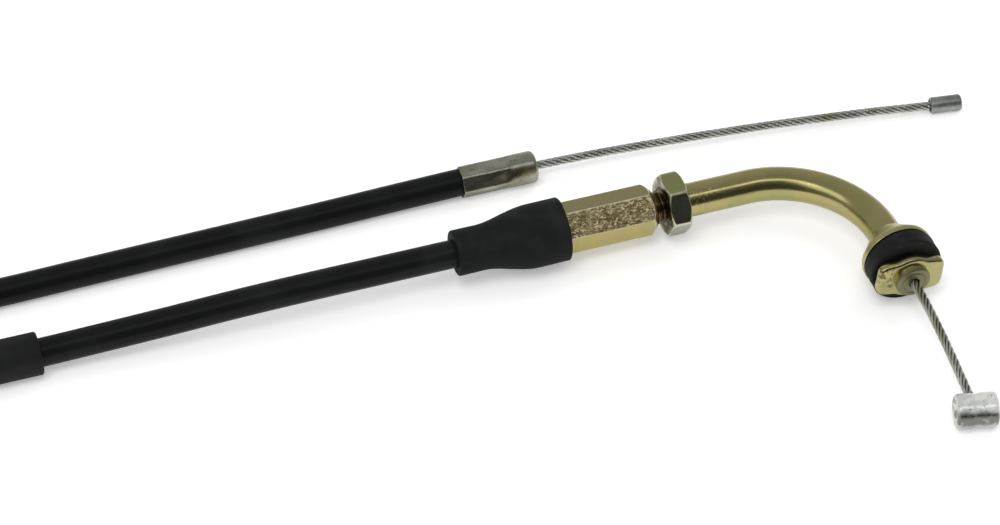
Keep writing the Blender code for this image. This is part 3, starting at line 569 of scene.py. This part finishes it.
boot_end = -0.0727
boot_length = 0.0198
boot_neck = 0.00405
boot_wide = 0.0057
profile = [(0, conduit_diameter / 2 + 0.00006)]
profile += list(reversed(rounded_corner(0, boot_neck, 0.0003, -1)))
for i in range(25):
    share = i / 24
    profile.append((0.0045 + 0.0098 * share, boot_neck + (boot_wide - boot_neck) * eased(0, 1, share)))
profile += [(boot_length - 0.0006, boot_wide - 0.00002), (boot_length - 0.00005, boot_wide)]
profile += [(boot_length, boot_wide - 0.00006), (boot_length, 0.0052), (boot_length - 0.0020, 0.0049)]
profile += [(boot_length - 0.0030, 0.0045)]
profile += [(0.0100, 0.0045), (0.0072, conduit_diameter / 2 + 0.0002)]
boot_mesh = turned(profile, 128, Matrix.Translation(pipe_axis + Vector((boot_end, 0, 0))))
for vert in boot_mesh.verts:
    x = vert.co.x - pipe_axis.x - boot_end
    angle = atan2(vert.co.z - pipe_axis.z, vert.co.y - pipe_axis.y)
    dent = 0.00007 * sin(3 * angle + 420 * x) * eased(0.001, 0.006, x)
    at_lip = eased(boot_length - 0.0004, boot_length, x)
    nick = 0.00010 * max(0, sin(3 * angle + 2) * sin(5 * angle)) ** 4 * at_lip
    vert.co.x -= nick
    vert.co.y -= dent * cos(angle)
    vert.co.z -= abs(dent) * sin(angle)
boot_look, shader, spot = new_finish("boot rubber", 0.0, Specular_IOR_Level=0.09)
cloud = spot.grain(240, detail=5.0)
crumbs = spot.grain(2600, detail=2.0)
boot_colour = cloud.within(0.4, 0.75).paint((0.0115, 0.0132, 0.0128, 1), (0.0185, 0.0205, 0.0200, 1))
boot_colour = crumbs.within(0.81, 0.83).paint(boot_colour, (0.45, 0.45, 0.43, 1))
wire_up(shader, boot_colour, 0.46 + 0.2 * cloud, cloud + 0.25 * crumbs, 0.00014, 0.4)
set_down("boot", boot_mesh, boot_look, "boot", "boot_rubber", "rubber_boot")


# BENT GUIDE PIPE
# A 6 mm steel tube, yellow passivated, bent through a right angle, with an M6 thread on its straight
# end. The other end is necked down, carries the flange stack and is swaged over it as a lip.

bend_radius = 0.0185
pipe_bore = 0.0020
thread_pitch = 0.0010
thread_start = -0.0465
thread_end = -0.0306
thread_core = 0.00246
spigot = 0.0025
lip = 0.0031
lip_hole = 0.00100


def carried_on(bm, ring, along, steps):
    """Extrudes a tube's two end circles along: each step gives a distance, outer and bore radius."""
    for distance, outer, bore in steps:
        grown = bmesh.ops.extrude_edge_only(bm, edges=ring)["geom"]
        corners = {part for part in grown if isinstance(part, bmesh.types.BMVert)}
        ring = [
            part for part in grown
            if isinstance(part, bmesh.types.BMEdge) and corners.issuperset(part.verts)
        ]
        bmesh.ops.translate(bm, verts=list(corners), vec=along * distance)
        arms = {vert: vert.co - along * vert.co.dot(along) for vert in corners}
        middle = sum(arm.length for arm in arms.values()) / len(arms)
        for vert, arm in arms.items():
            vert.co += arm.normalized() * ((outer if arm.length > middle else bore) - arm.length)
    return ring


pipe_mesh = bmesh.new()
lying = Matrix.Translation((thread_start, 0, 0)) @ Matrix.Rotation(radians(90), 4, "Y")
for radius in (0.0021, pipe_bore):
    bmesh.ops.create_circle(pipe_mesh, segments=64, radius=radius, matrix=lying)
ring = pipe_mesh.edges[:]
bmesh.ops.bridge_loops(pipe_mesh, edges=ring)
ring = carried_on(pipe_mesh, ring, Vector((1, 0, 0)), [
    (0.0004, thread_core, pipe_bore), (thread_end - thread_start - 0.0007, thread_core, pipe_bore),
    (0.0005, pipe_radius - 0.00005, pipe_bore), (0.0002, pipe_radius, pipe_bore),
    (-bend_radius - thread_end - 0.0004, pipe_radius, pipe_bore),
])
corners = list({vert for edge in ring for vert in edge.verts})
spun = bmesh.ops.spin(
    pipe_mesh, geom=corners + ring, cent=(-bend_radius, -bend_radius, 0), axis=(0, 0, 1),
    angle=radians(-90), steps=48,
)
ring = [part for part in spun["geom_last"] if isinstance(part, bmesh.types.BMEdge)]
ring = carried_on(pipe_mesh, ring, Vector((0, -1, 0)), [
    (0.0271 - bend_radius, pipe_radius, pipe_bore), (0, pipe_radius, lip_hole),
    (0.0016, pipe_radius, lip_hole), (0, spigot, lip_hole), (0.0022, spigot, lip_hole),
    (0, lip, lip_hole), (0.0008, lip, lip_hole), (0.00017, lip - 0.00006, lip_hole),
    (0.00015, lip - 0.00022, lip_hole), (0.00010, lip - 0.00045, lip_hole),
    (0.00002, lip - 0.0008, lip_hole + 0.0004), (-0.00012, lip - 0.00095, lip_hole + 0.0003),
    (-0.00002, lip - 0.00110, lip_hole + 0.0002), (0.00010, lip - 0.00122, lip_hole + 0.00012),
])
bmesh.ops.bridge_loops(pipe_mesh, edges=ring)
bmesh.ops.remove_doubles(pipe_mesh, verts=pipe_mesh.verts, dist=1e-7)
bmesh.ops.recalc_face_normals(pipe_mesh, faces=pipe_mesh.faces)

# The rolled thread: one pitch of its section screwed along the pipe
thread_mesh = bmesh.new()
section = [(0, 0.00240), (0.00038, 0.00296), (0.00050, 0.00299), (0.00062, 0.00296), (0.0010, 0.00240)]
line = [thread_mesh.verts.new((thread_start + x, 0, radius)) for x, radius in section]
edges = [thread_mesh.edges.new(pair) for pair in zip(line, line[1:])]
turns = round((thread_end - thread_start) / thread_pitch) - 1
bmesh.ops.spin(
    thread_mesh, geom=line + edges, cent=(0, 0, 0), axis=(1, 0, 0), angle=2 * pi * turns,
    dvec=(thread_pitch / 40, 0, 0), steps=40 * turns,
)
bmesh.ops.remove_doubles(thread_mesh, verts=thread_mesh.verts, dist=1e-6)
bmesh.ops.recalc_face_normals(thread_mesh, faces=thread_mesh.faces)
thread_part = bpy.data.meshes.new("thread part")
thread_mesh.to_mesh(thread_part)
thread_mesh.free()
pipe_mesh.from_mesh(thread_part)
pipe_mesh.transform(Matrix.Translation(pipe_axis))

pipe_look, shader, spot = new_finish("pipe zinc", 1.0)
drift = spot.grain(110, detail=3.0, distortion=0.5)
tint = spot.grain(230, (1, 1.5, 1.5), 4.0, 0.8)
scratch = spot.grain(900, (0.25, 1, 1), 5.0)
pipe_colour = drift.within(0.40, 0.62).paint((0.56, 0.49, 0.215, 1), (0.49, 0.47, 0.195, 1))
pipe_colour = tint.within(0.60, 0.76).paint(pipe_colour, (0.50, 0.39, 0.225, 1))
inside_bend = pipe_axis - Vector((bend_radius, bend_radius, 0))
off_centre = spot.node("ShaderNodeVectorMath", {"operation": "SUBTRACT"}, {0: spot, 1: inside_bend})
off_centre = off_centre.node("ShaderNodeVectorMath", {"operation": "MAXIMUM"}, {0: off_centre, 1: (0, 0, 0)})
off_centre = off_centre.node("ShaderNodeVectorMath", {"operation": "MULTIPLY"}, {0: off_centre, 1: (1, 1, 0)})
off_centre = off_centre.node("ShaderNodeVectorMath", {"operation": "LENGTH"}, {0: off_centre}, "Value")
outside = (off_centre - bend_radius).within(0.0006, 0.0024) * tint.within(0.25, 0.55)
pipe_colour = (0.85 * outside).paint(pipe_colour, (0.50, 0.355, 0.255, 1))
in_thread = 1 - (spot.along((1, 0, 0)) - pipe_axis.x).within(-0.0338, -0.0335)
pipe_colour = in_thread.paint(pipe_colour, (0.19, 0.14, 0.07, 1))
near_nut = 1 - (spot.along((1, 0, 0)) - pipe_axis.x).within(-0.029, -0.019)
rough_spots = near_nut * spot.grain(2300, detail=4.0).within(0.58, 0.68)
# Painted shade: the swaged lip at the pipe's end is painted darker, and it is also made rougher
on_lip = 1 - (spot.along((0, 1, 0)) - pipe_axis.y).within(-0.0318, -0.0312)
pipe_colour = on_lip.paint(pipe_colour, (0.27, 0.26, 0.14, 1))
wire_up(
    shader, pipe_colour, 0.17 + 0.10 * drift + 0.10 * rough_spots + 0.20 * on_lip,
    0.18 * scratch + 0.25 * rough_spots + 0.4 * on_lip * tint, 0.00010, 0.6,
)
set_down("bent_pipe", pipe_mesh, pipe_look, "elbow", "pipe_zinc", "elbow_pipe", sharp=38)

liner_look, shader, spot = new_finish("liner nylon", 0.0)
milk = spot.grain(400)
wire_up(shader, milk.paint((0.62, 0.62, 0.57, 1), (0.74, 0.74, 0.70, 1)), 0.4 + 0.2 * milk, milk, 0.00003)
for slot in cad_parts["pipe_liner"].material_slots:
    slot.material = liner_look


# LOCK NUT
# A thin 10 mm nut, olive passivated and well chamfered on both faces. It waits on the thread, a
# little clear of the adjuster, until it is run back to lock it.

nut_start = -0.0342
nut_end = -0.0305
nut_across = 0.0100
nut_face = 0.0051
nut_chamfer = 0.0007
profile = [(nut_start + 0.0006, pipe_radius + 0.0001), (nut_start, pipe_radius + 0.0005)]
for i in range(61):
    x = nut_start + (nut_end - nut_start) * i / 60
    share = min(1, (x - nut_start) / nut_chamfer, (nut_end - x) / nut_chamfer)
    profile.append((x, nut_face + nut_chamfer * sin(pi / 2 * share)))
profile += [(nut_end, pipe_radius + 0.0005), (nut_end - 0.0006, pipe_radius + 0.0001)]
nut_mesh = pressed_hexagon(profile, nut_across, 0.00034, 0)
nut_mesh.transform(Matrix.Translation(pipe_axis))
nut_look, shader, spot = new_finish("nut zinc", 1.0)
drift = spot.grain(200, detail=3.0)
fine = spot.grain(1300, (0.3, 1, 1), 4.0)
# Painted shade: the top of the nut is painted a darker olive
top_painted_shade = (spot.along((0, 0, 1)) - pipe_axis.z).within(0.0040, 0.0049)
nut_colour = drift.within(0.35, 0.65).paint((0.52, 0.52, 0.37, 1), (0.60, 0.62, 0.50, 1))
nut_colour = top_painted_shade.paint(nut_colour, (0.43, 0.44, 0.19, 1))
# Painted shade: the left face of the nut is painted dark brown
left_face_painted_shade = 1 - (spot.along((1, 0, 0)) - pipe_axis.x - nut_start).within(0.00002, 0.00020)
nut_colour = left_face_painted_shade.paint(nut_colour, (0.20, 0.175, 0.10, 1))
# Painted highlight: the soft rims round the flats are painted pale cream, partly as rubbed wear, and are
# rougher
rubbed_rim_and_highlight = spot.node("ShaderNodeAttribute", {"attribute_name": "rim"}, {}, "Fac").within(0.25, 0.65)
nut_colour = (0.7 * rubbed_rim_and_highlight).paint(nut_colour, (0.86, 0.85, 0.66, 1))
wire_up(shader, nut_colour, 0.08 + 0.06 * drift + 0.22 * rubbed_rim_and_highlight, fine, 0.00004, 0.2)
set_down("nut", nut_mesh, nut_look, "lock_nut", "nut_zinc", "lock_nut", sharp=45)


# FLANGE, SEAL WASHER AND KEY PLATE
# The flange is pressed on the pipe and bears on the throttle housing through the rubber washer.
# The key plate goes through the housing's slot and is turned a little, so that it can't come out.

flange_start = 0.0204
seal_start = 0.0255
seal_end = seal_start + 0.0032
seal_radius = 0.00655
plate_start = 0.0290
plate_turn = radians(5)
plate_half_width = 0.0061
plate_half_height = 0.0034
plate_boss = 0.0042
plate_hole = 0.0027
plate_thickness = 0.0019
exit_placing = Matrix.Translation(pipe_axis) @ Matrix.Rotation(radians(-90), 4, "Z")

profile = [
    (flange_start, 0.0032), (flange_start, 0.0036), (flange_start + 0.0002, 0.0037),
    (flange_start + 0.0018, 0.0049), (flange_start + 0.0035, 0.0062), (flange_start + 0.0037, 0.0064),
    (flange_start + 0.0040, 0.0065), (flange_start + 0.0046, 0.0065),
    (flange_start + 0.0048, 0.0064), (flange_start + 0.0048, 0.0032),
]
flange_look, shader, spot = new_finish("flange zinc", 1.0)
drift = spot.grain(170, detail=4.0, distortion=0.6)
fine = spot.grain(1200, detail=4.0)
flange_colour = drift.within(0.38, 0.64).paint((0.68, 0.61, 0.29, 1), (0.58, 0.56, 0.27, 1))
wire_up(shader, flange_colour, 0.24 + 0.15 * drift, fine, 0.00006, 0.4)
flange_mesh = turned(profile, 96, exit_placing)
set_down("flange", flange_mesh, flange_look, "elbow", "flange_zinc", "pipe_flange", sharp=30)

seal_bore = pipe_radius + 0.0002
profile = [(seal_start, seal_bore), *reversed(rounded_corner(seal_start, seal_radius, 0.0004, -1))]
profile += [(seal_start + 0.0012, 0.00650), (seal_start + 0.0020, 0.00650)]
profile += [*rounded_corner(seal_end, seal_radius, 0.0004, 1), (seal_end, seal_bore)]
seal_mesh = turned(profile, 128, exit_placing)
for vert in seal_mesh.verts:
    arm = vert.co - pipe_axis
    angle = atan2(arm.z, arm.x)
    reach = (arm.x ** 2 + arm.z ** 2) ** 0.5
    nick = 0.00035 * max(0, cos(angle - radians(203))) ** 90 * eased(0.0055, 0.0065, reach)
    vert.co.x -= nick * cos(angle)
    vert.co.z -= nick * sin(angle)
seal_look, shader, spot = new_finish("seal rubber", 0.0, Specular_IOR_Level=0.30)
cloud = spot.grain(400, detail=5.0)
seal_colour = cloud.within(0.4, 0.75).paint((0.006, 0.0064, 0.0066, 1), (0.014, 0.0145, 0.015, 1))
wire_up(shader, seal_colour, 0.5 + 0.2 * cloud, cloud + 0.3 * spot.grain(2000), 0.00010, 0.5)
set_down("seal", seal_mesh, seal_look, "elbow", "seal_rubber", "seal_washer")

plate_mesh = bmesh.new()
sides = 180
outline = []
for i in range(sides):
    angle = 2 * pi * (i + 0.5) / sides
    ends = (abs(cos(angle) / plate_half_width) ** 5 + abs(sin(angle) / plate_half_height) ** 5) ** -0.2
    reach = (ends ** 24 + plate_boss ** 24) ** (1 / 24)
    outline.append(plate_mesh.verts.new((0, reach * cos(angle), reach * sin(angle))))
hole = []
for i in range(sides):
    angle = 2 * pi * (i + 0.5) / sides
    hole.append(plate_mesh.verts.new((0, plate_hole * cos(angle), plate_hole * sin(angle))))
loops = [plate_mesh.edges.new((ring[i - 1], ring[i])) for ring in (outline, hole) for i in range(sides)]
plate_face = bmesh.ops.bridge_loops(plate_mesh, edges=loops)["faces"]
grown = bmesh.ops.extrude_face_region(plate_mesh, geom=plate_face)["geom"]
front = [part for part in grown if isinstance(part, bmesh.types.BMVert)]
bmesh.ops.translate(plate_mesh, verts=front, vec=(plate_thickness, 0, 0))
bmesh.ops.recalc_face_normals(plate_mesh, faces=plate_mesh.faces)
outer_edges = [
    edge for edge in plate_mesh.edges
    if edge.calc_face_angle(0) > radians(60) and min(vert.co.yz.length for vert in edge.verts) > 0.0030
]
bmesh.ops.bevel(
    plate_mesh, geom=outer_edges, offset=0.00075, segments=6, profile=0.5, affect="EDGES", material=-1,
)
plate_mesh.transform(
    exit_placing @ Matrix.Translation((plate_start, 0, 0)) @ Matrix.Rotation(-plate_turn, 4, "X")
)
plate_look, shader, spot = new_finish("plate zinc", 1.0)
drift = spot.grain(260, detail=4.0, distortion=0.8)
scuffs = spot.grain(800, detail=5.0, distortion=1.0)
plate_colour = drift.within(0.38, 0.64).paint((0.58, 0.52, 0.235, 1), (0.48, 0.46, 0.22, 1))
left_lobe = 1 - (spot.along((1, 0, 0)) - pipe_axis.x).within(-0.0040, -0.0030)
plate_colour = (left_lobe * scuffs.within(0.54, 0.62)).paint(plate_colour, (0.22, 0.19, 0.09, 1))
wire_up(shader, plate_colour, 0.16 + 0.12 * drift, drift + 0.5 * scuffs * left_lobe, 0.00010, 0.4)
set_down("plate", plate_mesh, plate_look, "elbow", "plate_zinc", "key_plate", sharp=30)


# THROTTLE WIRE AND BARREL NIPPLE
# The other bare end of the rope comes out of the lip and bends down to the table.
# The die-cast barrel on it turns in the throttle grip; a groove runs round its middle.

barrel_thickness = 0.0060
barrel_place = Vector((-0.0008, -0.0604, 0.0030))
barrel_yaw = radians(-13)
wire_drop = radians(8)
wire_drift = radians(3)
level = cos(wire_drop)
entry_way = Vector((-level * sin(wire_drift), -level * cos(wire_drift), -sin(wire_drop)))
lip_place = Vector((0, -0.0322, axis_height))
entry = barrel_place - entry_way * barrel_thickness
run = (entry - lip_place).length
throttle_line = [lip_place + Vector((0, inside, 0)) for inside in (0.0110, 0.0055, 0.0011)]
for step in range(1, 6):
    t = step / 6
    throttle_line.append(
        lip_place * (2 * t ** 3 - 3 * t ** 2 + 1) + Vector((0, -run, 0)) * (t ** 3 - 2 * t ** 2 + t)
        + entry * (3 * t ** 2 - 2 * t ** 3) + entry_way * run * (t ** 3 - t ** 2)
    )
throttle_line += [entry, barrel_place.lerp(entry, 0.5), barrel_place]
throttle_wire = set_down(
    "throttle_rope_end", rope("throttle rope", throttle_line, steel_look), steel_look, None,
    "wire_steel", "throttle_wire", sharp=180,
)
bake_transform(throttle_wire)
bpy.data.objects.remove(strand_section, do_unlink=True)

barrel_half = 0.0035
barrel_radius = barrel_thickness / 2
profile = [(-barrel_half + 0.0004, 0), (-barrel_half + 0.0004, 0.0013)]
profile += [(-barrel_half + 0.0001, 0.0016), (-barrel_half, 0.0018)]
profile += list(reversed(rounded_corner(-barrel_half, barrel_radius, 0.0006, -1, 6)))
profile += [(-0.0010, barrel_radius), (-0.0007, barrel_radius - 0.00005), (-0.0004, barrel_radius - 0.00016)]
profile += [(-x, r) for x, r in reversed(profile)]
barrel_bar = turned(profile, 96, Matrix())
hole_bar = bmesh.new()
turned_in = Matrix.Rotation(-barrel_yaw, 3, "Z")
way = turned_in @ entry_way
bmesh.ops.create_cone(
    hole_bar, cap_ends=True, segments=48, radius1=wire_hole, radius2=wire_hole, depth=barrel_thickness,
    matrix=Matrix.Translation(-way * barrel_thickness / 2) @ way.to_track_quat("Z", "Y").to_matrix().to_4x4(),
)
pair = []
for bm in (barrel_bar, hole_bar):
    mesh = bpy.data.meshes.new("barrel part")
    bm.to_mesh(mesh)
    bm.free()
    pair.append(bpy.data.objects.new("barrel part", mesh))
    bpy.context.collection.objects.link(pair[-1])
drilled = pair[0].modifiers.new("hole", "BOOLEAN")
drilled.object = pair[1]
drilled.operation = "DIFFERENCE"
drilled.solver = "EXACT"
bpy.context.view_layer.update()
made = pair[0].evaluated_get(bpy.context.evaluated_depsgraph_get())
barrel_mesh = bmesh.new()
barrel_mesh.from_mesh(made.to_mesh())
made.to_mesh_clear()
for blank in pair:
    bpy.data.objects.remove(blank, do_unlink=True)
barrel_mesh.transform(Matrix.Translation(crossing + barrel_place) @ Matrix.Rotation(barrel_yaw, 4, "Z"))
set_down("barrel", barrel_mesh, cast_look, "throttle_end", "cast_zinc", "barrel_nipple", sharp=30)


# TABLE, LIGHT AND CAMERA
# A pale table in soft, plain studio light. The metal also sees the dim side of the room in front.

table_mesh = bmesh.new()
bmesh.ops.create_grid(table_mesh, x_segments=1, y_segments=1, size=4.0)
table_look = bpy.data.materials.new("table")
table_look.use_nodes = True
shader = table_look.node_tree.nodes["Principled BSDF"]
shader.inputs["Base Color"].default_value = (0.90, 0.90, 0.90, 1)
shader.inputs["Roughness"].default_value = 1.0
shader.inputs["Specular IOR Level"].default_value = 0.0
seen_by = Signal(table_look.node_tree).node("ShaderNodeLightPath", {}, {}, "Is Camera Ray")
shader.inputs["Emission Strength"].default_value = 0.30
white = seen_by.paint((0, 0, 0, 1), (1, 1, 1, 1))
table_look.node_tree.links.new(white.socket, shader.inputs["Emission Color"])
mesh = bpy.data.meshes.new("table")
table_mesh.to_mesh(mesh)
table_mesh.free()
mesh.materials.append(table_look)
table = bpy.data.objects.new("table", mesh)
bpy.context.collection.objects.link(table)

world = bpy.data.worlds.new("studio")
world.use_nodes = True
bpy.context.scene.world = world
tree = world.node_tree
background = tree.nodes["Background"]
path = tree.nodes.new("ShaderNodeLightPath")
way = Signal(tree).node("ShaderNodeTexCoord", {}, {}, "Generated")
height = way.along((0, 0, 1))
forward = way.along((0, -1, 0))
room = height.node("ShaderNodeValToRGB", {"stops": [
    (0.0, (0.42, 0.42, 0.42, 1)), (0.5, (0.27, 0.27, 0.27, 1)), (0.75, (0.16, 0.16, 0.16, 1)),
    (0.90, (0.05, 0.05, 0.05, 1)), (1.0, (0.035, 0.035, 0.035, 1)),
]}, {"Fac": 0.5 + 0.5 * forward})

# Glossy rays also see a narrow bright strip overhead and a wider, dimmer window in front
across = way.along((-0.093, -0.924, -0.372))
strip = (1 - (across * across).within(0.0015, 0.0070)) * height.within(0.78, 0.82)
beside = way.along((-0.601, -0.511, -0.614)) - 0.12
window = (1 - (beside * beside).within(0.030, 0.060)) * height.within(0.25, 0.45)
window = window * forward.within(-0.15, 0.02) * (1 - forward.within(0.48, 0.60))
room = room + 1.8 * strip + 0.85 * window
glossy = Signal(tree, path.outputs["Is Glossy Ray"])
camera_ray = Signal(tree, path.outputs["Is Camera Ray"])
through = Signal(tree, path.outputs["Is Transmission Ray"])
shade = glossy.paint((0.52, 0.52, 0.52, 1), room)
shade = (camera_ray + through).paint(shade, (1, 1, 1, 1))
tree.links.new(shade.socket, background.inputs["Color"])
background.inputs["Strength"].default_value = 1.0

lamps = (
    ("key", (-0.25, -0.30, 0.85), 0.50, 3.4), ("fill", (0.55, 0.35, 0.75), 0.60, 1.6),
)
for name, place, size, power in lamps:
    lamp_data = bpy.data.lights.new(name, "AREA")
    lamp_data.size = size
    lamp_data.energy = power
    lamp = bpy.data.objects.new(name, lamp_data)
    lamp.location = place
    lamp.rotation_euler = (Vector((-0.03, 0.02, 0)) - Vector(place)).to_track_quat("-Z", "Y").to_euler()
    lamp.visible_glossy = False
    bpy.context.collection.objects.link(lamp)

aim = Vector((-0.0306, 0.0311, 0.0))
distance = 0.6145
azimuth = radians(-18.5)
elevation = radians(43.3)
right = Vector((cos(azimuth), sin(azimuth), 0))
up = Vector((-sin(azimuth) * sin(elevation), cos(azimuth) * sin(elevation), cos(elevation)))
back = Vector((sin(azimuth) * cos(elevation), -cos(azimuth) * cos(elevation), sin(elevation)))
camera_data = bpy.data.cameras.new("camera")
camera_data.sensor_width = 36.0
camera_data.lens = 126.0
camera_data.clip_start = 0.01
camera = bpy.data.objects.new("camera", camera_data)
facing = Matrix((right, up, back)).transposed().to_4x4()
camera.matrix_world = Matrix.Translation(aim + back * distance) @ facing
bpy.context.collection.objects.link(camera)
bpy.context.scene.camera = camera
bpy.context.scene.view_settings.view_transform = "Standard"
